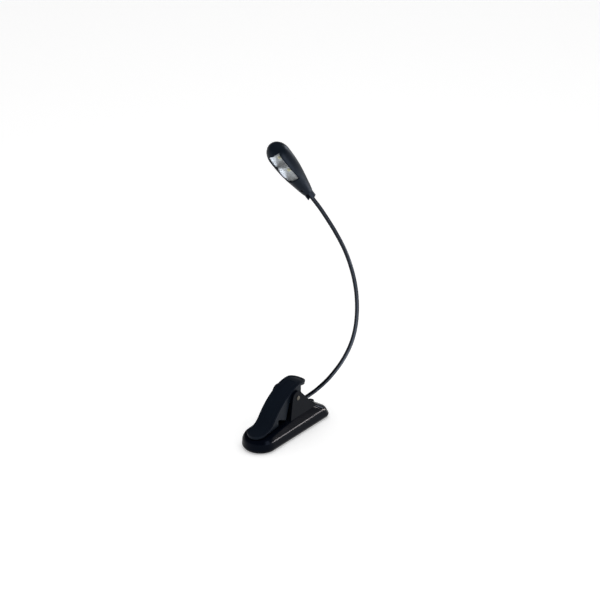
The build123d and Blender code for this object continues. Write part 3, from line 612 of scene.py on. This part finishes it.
@dataclass
class Neck:
    """The bendable neck: five lengths of sleeve, each running over one joint of the frame.

    The route repeats the corner points of the solids' neck, from its root in the socket to the head.
    """

    diameter: float = 4.3 * MM
    bend_reach: float = 15.0 * MM
    plane_yaw: float = math.radians(51.0)
    plane_x: float = 58.0 * MM
    run_steps: int = 24
    around: int = 24
    curve_order: int = 3
    weld: float = 0.01 * MM
    lengths: int = 5
    root_mm: tuple[tuple[float, float, float], ...] = (
        (21.0, 0.0, 24.0), (46.5, 0.0, 24.1), (57.5, -4.6, 30.4),
    )
    # Distance away from the case in the neck's upright plane, and height.
    rising_mm: tuple[tuple[float, float], ...] = (
        (14.0, 40.3), (28.0, 61.5), (37.4, 86.3), (40.6, 114.7), (38.6, 146.2),
        (30.3, 178.5), (18.2, 205.0), (3.2, 230.9), (-10.6, 250.9),
    )
    bodies: tuple[Body, ...] = (
        Body.BASE, Body.LINK_2, Body.LINK_3, Body.LINK_4, Body.LINK_5, Body.HEAD,
    )

    def route(self) -> list[Vector]:
        """Give the corner points of the neck's line."""
        away = Vector((math.cos(self.plane_yaw), -math.sin(self.plane_yaw), 0.0))
        root = [Vector(corner) * MM for corner in self.root_mm]
        rising = [
            Vector((self.plane_x, 0, height * MM)) + away * along * MM
            for along, height in self.rising_mm
        ]
        return root + rising

    def tube(self, name: str, corners: list[Vector]) -> bpy.types.Object:
        """Make one length of sleeve along a smooth line.

        Args:
            name: the piece's name.
            corners: control points of its line.

        Returns:
            The closed tube.
        """
        line = bpy.data.curves.new(name + "_line", "CURVE")
        line.dimensions = "3D"
        line.resolution_u = self.run_steps
        line.bevel_depth = self.diameter / 2
        line.bevel_resolution = self.around // 2 - 2
        line.use_fill_caps = True
        spline = line.splines.new("NURBS")
        spline.points.add(len(corners) - 1)
        for point, corner in zip(spline.points, corners):
            point.co = (*corner, 1.0)
        spline.order_u = self.curve_order
        spline.use_endpoint_u = True
        guide = bpy.data.objects.new(name + "_line", line)
        bpy.context.scene.collection.objects.link(guide)
        bpy.context.view_layer.update()
        shaped = guide.evaluated_get(bpy.context.evaluated_depsgraph_get())
        data = bpy.data.meshes.new_from_object(shaped)
        bpy.data.objects.remove(guide)
        mesh = bmesh.new()
        mesh.from_mesh(data)
        bpy.data.meshes.remove(data)
        bmesh.ops.remove_doubles(mesh, verts=mesh.verts, dist=self.weld)
        return to_piece(mesh, name)

    def build(self, finishes: Finishes) -> list[bpy.types.Object]:
        """Make the sleeve, one length over each joint.

        Args:
            finishes: the lamp's finishes.

        Returns:
            The lengths of sleeve.
        """
        made = []
        route = self.route()
        for number in range(1, self.lengths + 1):
            is_last = number == self.lengths
            run = 2 * number
            middle = (route[run] + route[run + 1]) / 2
            first = route[:run] if number == 1 else [(route[run - 1] + route[run]) / 2]
            if is_last:
                last = [middle, route[run + 1]]
                nodes = [f"neck_sleeve_{number}", f"neck_sleeve_{number + 1}"]
            else:
                last = [route[run + 1], (route[run + 1] + route[run + 2]) / 2]
                nodes = [f"neck_sleeve_{number}"]
            piece = self.tube(f"neck_skin_{number}", [*first, route[run], *last])
            finishes.dress(piece, Finishes.SLEEVE)
            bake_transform(piece)
            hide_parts(*nodes)
            made.append(piece)
            log.info("%s: %d faces", piece.name, len(piece.data.polygons))
        return made


# ---------------------------------------------------------------- head


@dataclass
class Head:
    """The lamp head: its plated twin cups and its two lamps, set out from the axis of the head.

    Sizes repeat the named sizes of the solids.
    """

    led_middle: float = 40.7 * MM
    led_spacing: float = 17.0 * MM
    window_start: float = 21.4 * MM
    window_end: float = 56.0 * MM
    window_half: float = 6.4 * MM
    window_lobe: float = 1.3 * MM
    rim: float = 0.55 * MM
    cup_top: float = 6.15 * MM
    cup_depth: float = 4.75 * MM
    cup_floor: float = 2.6 * MM
    cup_curve: float = 1.7
    cup_wall: float = 0.4 * MM
    cup_weld: float = 0.05 * MM
    lobe_power: float = 3.0
    lobe_squash: float = 0.72
    lamp_aim: tuple[float, float, float] = (-0.914, -0.348, -0.21)
    lamp_size: tuple[float, float, float] = (4.4 * MM, 3.6 * MM, 1.0 * MM)
    lamp_height: float = 1.7 * MM
    lamp_edge: float = 0.18 * MM
    dome_radius: float = 1.75 * MM
    dome_height: float = 2.1 * MM
    dome_around: int = 24
    facets: int = 28
    rings: tuple[float, ...] = (0.0, 0.3, 0.62, 0.86, 1.0)

    def axes(self) -> Matrix:
        """Give the frame of the head: x along its axis, z out of the window, origin at its root."""
        route = Neck().route()
        axis = (route[-1] - route[-2]).normalized()
        aim = Vector(self.lamp_aim)
        outward = (aim - axis * aim.dot(axis)).normalized()
        return frame_at(route[-1], outward, axis)

    def cell_reach(self, angle: float, sign: int) -> float:
        """Give how far a cup reaches from its lamp in one direction.

        Args:
            angle: direction in the plane of the window, from the head's axis.
            sign: 1 for the cup nearer the tip of the head, -1 for the other.

        Returns:
            The distance to the edge of its half of the window.
        """
        half_length = self.led_spacing / 2
        if sign * math.cos(angle) > 0:
            end = self.window_end if sign > 0 else self.window_start
            half_length = abs(end - self.led_middle - sign * self.led_spacing / 2) + self.rim
        to_end = half_length / max(abs(math.cos(angle)), TINY)
        straight = self.window_half + self.rim
        side = math.sin(angle)
        if side < -TINY:
            return min(to_end, straight / -side)
        if side > TINY:
            ahead = abs(math.cos(angle)) * self.lobe_squash
            curve = (side**self.lobe_power + ahead**self.lobe_power) ** (1 / self.lobe_power)
            return min(to_end, (straight + self.window_lobe) / curve)
        return to_end

    def cups(self, finishes: Finishes) -> None:
        """Make the two faceted cups as one plated moulding.

        Args:
            finishes: the lamp's finishes.
        """
        place = self.axes()
        mesh = bmesh.new()
        for sign in (-1, 1):
            centre = self.led_middle + sign * self.led_spacing / 2
            loop = bmesh.ops.create_circle(
                mesh, cap_ends=False, segments=self.facets, radius=self.cup_floor
            )["verts"]
            rows = [loop]
            edges = list({edge for vert in loop for edge in vert.link_edges})
            for _ in self.rings[1:]:
                grown = bmesh.ops.extrude_edge_only(mesh, edges=edges)["geom"]
                edges = [item for item in grown if isinstance(item, bmesh.types.BMEdge)]
                new_verts = [item for item in grown if isinstance(item, bmesh.types.BMVert)]
                new_verts.sort(key=lambda vert: math.atan2(vert.co.y, vert.co.x))
                rows.append(new_verts)
            for share, row in zip(self.rings, rows):
                height = self.cup_top - self.cup_depth * (1 - share**self.cup_curve)
                for vert in row:
                    angle = math.atan2(vert.co.y, vert.co.x)
                    reach = self.cell_reach(angle, sign)
                    radius = self.cup_floor + (reach - self.cup_floor) * share
                    across = radius * math.sin(angle)
                    vert.co = Vector((centre + radius * math.cos(angle), across, height))
        bmesh.ops.remove_doubles(mesh, verts=mesh.verts, dist=self.cup_weld)
        bmesh.ops.recalc_face_normals(mesh, faces=mesh.faces)
        if sum(face.normal.z for face in mesh.faces) < 0:
            bmesh.ops.reverse_faces(mesh, faces=mesh.faces)
        bmesh.ops.solidify(mesh, geom=mesh.faces, thickness=self.cup_wall)
        bmesh.ops.transform(mesh, matrix=place, verts=mesh.verts)
        piece = to_piece(mesh, "plated_cups", None)
        finishes.dress(piece, Finishes.MIRROR)
        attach(piece, Body.HEAD.value)
        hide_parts("reflector")
        log.info("plated_cups: %d faces", len(piece.data.polygons))

    def lamps(self, finishes: Finishes) -> None:
        """Make the ceramic bodies of the two lamps and their phosphor domes.

        Args:
            finishes: the lamp's finishes.
        """
        place = self.axes()
        bodies = bmesh.new()
        domes = bmesh.new()
        for sign in (-1, 1):
            centre = self.led_middle + sign * self.led_spacing / 2
            stretched = Matrix.Diagonal((*self.lamp_size, 1.0))
            at = Matrix.Translation((centre, 0, self.lamp_height)) @ stretched
            bmesh.ops.create_cube(bodies, size=1.0, matrix=at)
            made = bmesh.ops.create_uvsphere(
                domes,
                u_segments=self.dome_around,
                v_segments=self.dome_around // 2,
                radius=self.dome_radius,
                matrix=Matrix.Translation((centre, 0, self.dome_height)),
            )["verts"]
            bmesh.ops.bisect_plane(
                domes,
                geom=[
                    *made,
                    *{edge for vert in made for edge in vert.link_edges},
                    *{face for vert in made for face in vert.link_faces},
                ],
                dist=TINY * 0.1,
                plane_co=(0, 0, self.dome_height),
                plane_no=(0, 0, 1),
                clear_inner=True,
            )
        bmesh.ops.bevel(
            bodies,
            geom=bodies.edges,
            offset=self.lamp_edge,
            segments=2,
            profile=0.5,
            material=-1,
            affect="EDGES",
        )
        bmesh.ops.holes_fill(domes, edges=domes.edges, sides=0)
        for mesh, name, finish in (
            (bodies, "lamp_bodies", Finishes.CERAMIC),
            (domes, "lamp_domes", Finishes.PHOSPHOR),
        ):
            bmesh.ops.transform(mesh, matrix=place, verts=mesh.verts)
            piece = to_piece(mesh, name)
            finishes.dress(piece, finish)
            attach(piece, Body.HEAD.value)
            if name == "lamp_bodies":
                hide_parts("leds")
            log.info("%s: %d faces", name, len(piece.data.polygons))

    def build(self, finishes: Finishes) -> None:
        """Dress the head.

        Args:
            finishes: the lamp's finishes.
        """
        for name in ("head_front_shell", "head_back_shell"):
            smooth_skin(name, Body.HEAD, finishes, Finishes.HEAD)
        smooth_skin("head_collar", Body.HEAD, finishes, Finishes.COLLAR)
        # The screw's dark colour is painted shade, standing in for the recess around it.
        finishes.dress(frame["nodes"]["head_screw"], Finishes.RECESS_SHADED_SCREW)
        self.cups(finishes)
        self.lamps(finishes)


# ---------------------------------------------------------------- clip and case


@dataclass
class Clip:
    """The case, the lever and the button in their smooth skins, and the pin's rolled ends."""

    head_radius: float = 2.35 * MM
    head_height: float = 0.75 * MM
    head_sink: float = 0.6 * MM
    head_around: int = 32
    rolled_share: float = 0.6
    rolled_steps: int = 4

    def build(self, finishes: Finishes) -> list[bpy.types.Object]:
        """Dress the case and the lever, and make the rolled heads at both ends of the pin.

        Args:
            finishes: the lamp's finishes.

        Returns:
            The skins of the case.
        """
        case = [
            smooth_skin(name, body, finishes, Finishes.HOUSING)
            for name, body in (
                ("base_upper_shell", Body.BASE),
                ("nose_floor", Body.BASE),
                ("battery_cover", Body.COVER),
            )
        ]
        smooth_skin("jaw_lever", Body.LEVER, finishes, Finishes.LEVER)
        smooth_skin("power_button", Body.BUTTON, finishes, Finishes.LEVER)
        low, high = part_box("pivot_pin")
        middle = (low + high) / 2
        mesh = bmesh.new()
        for sign in (-1, 1):
            end = low.y if sign < 0 else high.y
            start = Vector((middle.x, end - sign * self.head_sink, middle.z))
            at = frame_at(start, Vector((0, sign, 0)), Vector((1, 0, 0)))
            made = bmesh.ops.create_cone(
                mesh,
                cap_ends=True,
                segments=self.head_around,
                radius1=self.head_radius,
                radius2=self.head_radius,
                depth=self.head_height,
                matrix=at @ Matrix.Translation((0, 0, self.head_height / 2)),
            )["verts"]
            outer = [
                edge
                for edge in {edge for vert in made for edge in vert.link_edges}
                if all(abs(vert.co.y - start.y) > self.head_height / 2 for vert in edge.verts)
            ]
            bmesh.ops.bevel(
                mesh,
                geom=outer,
                offset=self.head_height * self.rolled_share,
                segments=self.rolled_steps,
                profile=0.5,
                material=-1,
                affect="EDGES",
            )
        piece = to_piece(mesh, "rolled_pin_ends")
        finishes.dress(piece, Finishes.PIN)
        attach(piece, Body.BASE.value)
        log.info("rolled_pin_ends: %d faces", len(piece.data.polygons))
        return case


# ---------------------------------------------------------------- studio


@dataclass(frozen=True)
class Softbox:
    """A soft light: either it lights the room, or only reflections show it.

    place is where it stands, facing the direction that it shines in, size its width, which is level,
    and its other side, power is in watts, and shiny says whether reflections alone show it.
    """

    name: str
    place: tuple[float, float, float]
    facing: tuple[float, float, float]
    size: tuple[float, float]
    power: float
    colour: str
    shiny: bool = True

    def hang(self, only: list[bpy.types.Object] | None = None) -> None:
        """Hang the light.

        Args:
            only: the pieces that it reaches, where it is flagged off from the rest.
        """
        data = bpy.data.lights.new(self.name, "AREA")
        data.shape = "RECTANGLE"
        data.size, data.size_y = self.size
        data.energy = self.power
        data.color = srgb(self.colour)[:3]
        light = bpy.data.objects.new(self.name, data)
        bpy.context.scene.collection.objects.link(light)
        place = Vector(self.place)
        level = Vector((-place.y, place.x, 0.0))
        light.rotation_mode = "QUATERNION"
        light.rotation_quaternion = frame_at(place, -Vector(self.facing), level).to_quaternion()
        light.location = place
        light.visible_camera = False
        light.visible_glossy = self.shiny
        light.visible_diffuse = not self.shiny
        if only:
            reached = bpy.data.collections.new(self.name + "_reaches")
            for piece in only:
                reached.objects.link(piece)
            light.light_linking.receiver_collection = reached
        log.info("%s: %.1f W", self.name, self.power)


@dataclass
class Studio:
    """Camera, floor, surroundings and soft lights."""

    aim: tuple[float, float, float] = (0.0277, 0.0, 0.1407)
    azimuth: float = math.radians(-52.5925)
    elevation: float = math.radians(27.004)
    distance: float = 4.0
    width_seen: float = 0.6096
    sensor_mm: float = 36.0
    farthest: float = 60.0
    floor_half: float = 9.0
    floor_cells: int = 8
    floor_glow: float = 0.34
    tooth_mm: float = 1.2
    tooth_depth_mm: float = 0.02
    tooth_strength: float = 0.2
    fill: float = 0.55
    # The paper seen in reflections ends between these heights of view, under a dim ceiling.
    paper_ends: float = 0.04
    ceiling_starts: float = 0.26
    ceiling: float = 0.05
    overhead: Softbox = Softbox(
        "overhead", (0.0, -0.2, 1.6), (0.0277, 0.2, -1.4593), (1.6, 1.6), 9.0, WHITE, shiny=False
    )
    side_strip: Softbox = Softbox(
        "side_strip", (0.66, -0.66, 0.062), (-1.0, 1.0, 0.0), (0.7, 0.12), 17.0, "FFEFE0"
    )
    side_panel: Softbox = Softbox(
        "side_panel", (0.66, -0.66, 0.062), (-1.0, 1.0, 0.0), (0.7, 0.12), 4.0, "F4F7FF"
    )
    head_panel: Softbox = Softbox(
        "head_panel", (1.3, -0.2, 0.7), (-1.2723, 0.2, -0.5593), (0.3, 0.5), 6.0, "F2F6FF"
    )
    tall_card: Softbox = Softbox(
        "tall_card", (-0.12, -0.882, 0.31), (0.2, 0.98, 0.0), (0.42, 0.6), 3.2, "F4F7FF"
    )
    neck_card: Softbox = Softbox(
        "neck_card", (-0.12, -0.882, 0.31), (0.2, 0.98, 0.0), (0.3, 0.6), 14.0, "F4F7FF"
    )
    neck_floor_card: Softbox = Softbox(
        "neck_floor_card", (0.03, -0.3, 0.012), (0.0, 0.0, 1.0), (0.2, 0.5), 2.5, "F4F7FF"
    )

    def camera(self) -> None:
        """Set the camera: a long lens from the front left, a little above."""
        back = Vector((
            math.sin(self.azimuth) * math.cos(self.elevation),
            -math.cos(self.azimuth) * math.cos(self.elevation),
            math.sin(self.elevation),
        ))
        data = bpy.data.cameras.new("studio_camera")
        camera = bpy.data.objects.new("studio_camera", data)
        bpy.context.scene.collection.objects.link(camera)
        camera.location = Vector(self.aim) + back * self.distance
        camera.rotation_mode = "QUATERNION"
        camera.rotation_quaternion = (-back).to_track_quat("-Z", "Y")
        data.sensor_width = self.sensor_mm
        data.lens = self.sensor_mm * self.distance / self.width_seen
        data.clip_end = self.farthest
        bpy.context.scene.camera = camera

    def turned_ray(self, tree: bpy.types.NodeTree, ray: Any) -> bpy.types.NodeSocket:
        """Tell the rays that a shiny or a clear piece has turned from the rest.

        Args:
            tree: the node tree that needs it.
            ray: its light path node.

        Returns:
            A socket that is 1 for those rays.
        """
        turned = add_node(
            tree,
            "ShaderNodeMath",
            {"operation": "MAXIMUM"},
            in0=ray.outputs["Is Glossy Ray"],
            in1=ray.outputs["Is Transmission Ray"],
        )
        return turned.outputs["Value"]

    def floor(self) -> None:
        """Lay a pale floor that keeps the lamp's shadow and looks white to straight and turned rays."""
        mesh = bmesh.new()
        bmesh.ops.create_grid(
            mesh, x_segments=self.floor_cells, y_segments=self.floor_cells, size=self.floor_half
        )
        piece = to_piece(mesh, "studio_floor")
        # Matt paper: white without a shine, with a fine tooth that hardly shows.
        material, tree, output = new_material("Seamless white paper")
        place = add_node(tree, "ShaderNodeTexCoord", {}).outputs["Object"]
        tooth_scale = 1 / (self.tooth_mm * MM)
        tooth = add_node(tree, "ShaderNodeTexNoise", {}, Vector=place, Scale=tooth_scale, Detail=2.0)
        bump = add_node(
            tree,
            "ShaderNodeBump",
            {},
            Strength=self.tooth_strength,
            Distance=self.tooth_depth_mm * MM,
            Height=tooth.outputs["Fac"],
        )
        paper = add_node(
            tree, "ShaderNodeBsdfDiffuse", {}, Color=srgb("F4F4F4"), Normal=bump.outputs["Normal"]
        )
        glow = add_node(tree, "ShaderNodeEmission", {}, Color=srgb(WHITE), Strength=self.floor_glow)
        both = add_node(
            tree, "ShaderNodeAddShader", {}, in0=paper.outputs["BSDF"], in1=glow.outputs["Emission"]
        )
        ray = add_node(tree, "ShaderNodeLightPath", {})
        seen = add_node(
            tree,
            "ShaderNodeMath",
            {"operation": "MAXIMUM"},
            in0=ray.outputs["Is Camera Ray"],
            in1=self.turned_ray(tree, ray),
        )
        mixed = add_node(
            tree,
            "ShaderNodeMixShader",
            {},
            in0=seen.outputs["Value"],
            in1=paper.outputs["BSDF"],
            in2=both.outputs["Shader"],
        )
        tree.links.new(mixed.outputs["Shader"], output.inputs["Surface"])
        piece.data.materials.append(material)

    def world(self) -> None:
        """Surround the lamp with white paper that ends above the horizon, under a dim ceiling.

        The camera sees plain white, turned rays see the paper and the ceiling, and the rest get an
        even fill.
        """
        world = bpy.data.worlds.new("studio_world")
        bpy.context.scene.world = world
        world.use_nodes = True
        tree = world.node_tree
        tree.nodes.clear()
        output = add_node(tree, "ShaderNodeOutputWorld", {})
        ray = add_node(tree, "ShaderNodeLightPath", {})
        direction = add_node(tree, "ShaderNodeTexCoord", {}).outputs["Generated"]
        split = add_node(tree, "ShaderNodeSeparateXYZ", {}, Vector=direction)
        paper = add_node(
            tree,
            "ShaderNodeMapRange",
            {"interpolation_type": "SMOOTHSTEP"},
            Value=split.outputs["Z"],
            From_Min=self.paper_ends,
            From_Max=self.ceiling_starts,
            To_Min=1.0,
            To_Max=self.ceiling,
        )
        fill, mirrored, white = (
            add_node(tree, "ShaderNodeBackground", {}, Color=srgb(WHITE), Strength=strength)
            for strength in (self.fill, paper.outputs["Result"], 1.0)
        )
        lit = add_node(
            tree,
            "ShaderNodeMixShader",
            {},
            in0=self.turned_ray(tree, ray),
            in1=fill.outputs["Background"],
            in2=mirrored.outputs["Background"],
        )
        seen = add_node(
            tree,
            "ShaderNodeMixShader",
            {},
            in0=ray.outputs["Is Camera Ray"],
            in1=lit.outputs["Shader"],
            in2=white.outputs["Background"],
        )
        tree.links.new(seen.outputs["Shader"], output.inputs["Surface"])

    def build(self, neck: list[bpy.types.Object], case: list[bpy.types.Object]) -> None:
        """Set up the whole studio.

        Args:
            neck: the lengths of sleeve, which have a light of their own.
            case: the skins of the case, which have another.
        """
        self.camera()
        self.floor()
        self.world()
        for light, reached in (
            (self.overhead, None),
            (self.side_strip, case),
            (self.side_panel, None),
            (self.head_panel, None),
            (self.tall_card, None),
            (self.neck_card, neck),
            (self.neck_floor_card, neck),
        ):
            light.hang(reached)


def dress_solids(finishes: Finishes) -> None:
    """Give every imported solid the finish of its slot.

    Args:
        finishes: the lamp's finishes.
    """
    for part in frame["record"]["subparts"]:
        finishes.dress(frame["nodes"][part["node"]], Finishes.BY_SLOT[part["material_slot"]])
        log.info("%s: %s", part["node"], part["material_slot"])


def main() -> None:
    """Build the lamp and its studio."""
    logging.basicConfig(level=logging.INFO, format="%(message)s")
    scene = bpy.context.scene
    scene.view_settings.view_transform = "Standard"
    finishes = Finishes()
    dress_solids(finishes)
    sleeves = Neck().build(finishes)
    Head().build(finishes)
    case = Clip().build(finishes)
    Studio().build(sleeves, case)


if __name__ == "__main__":
    main()
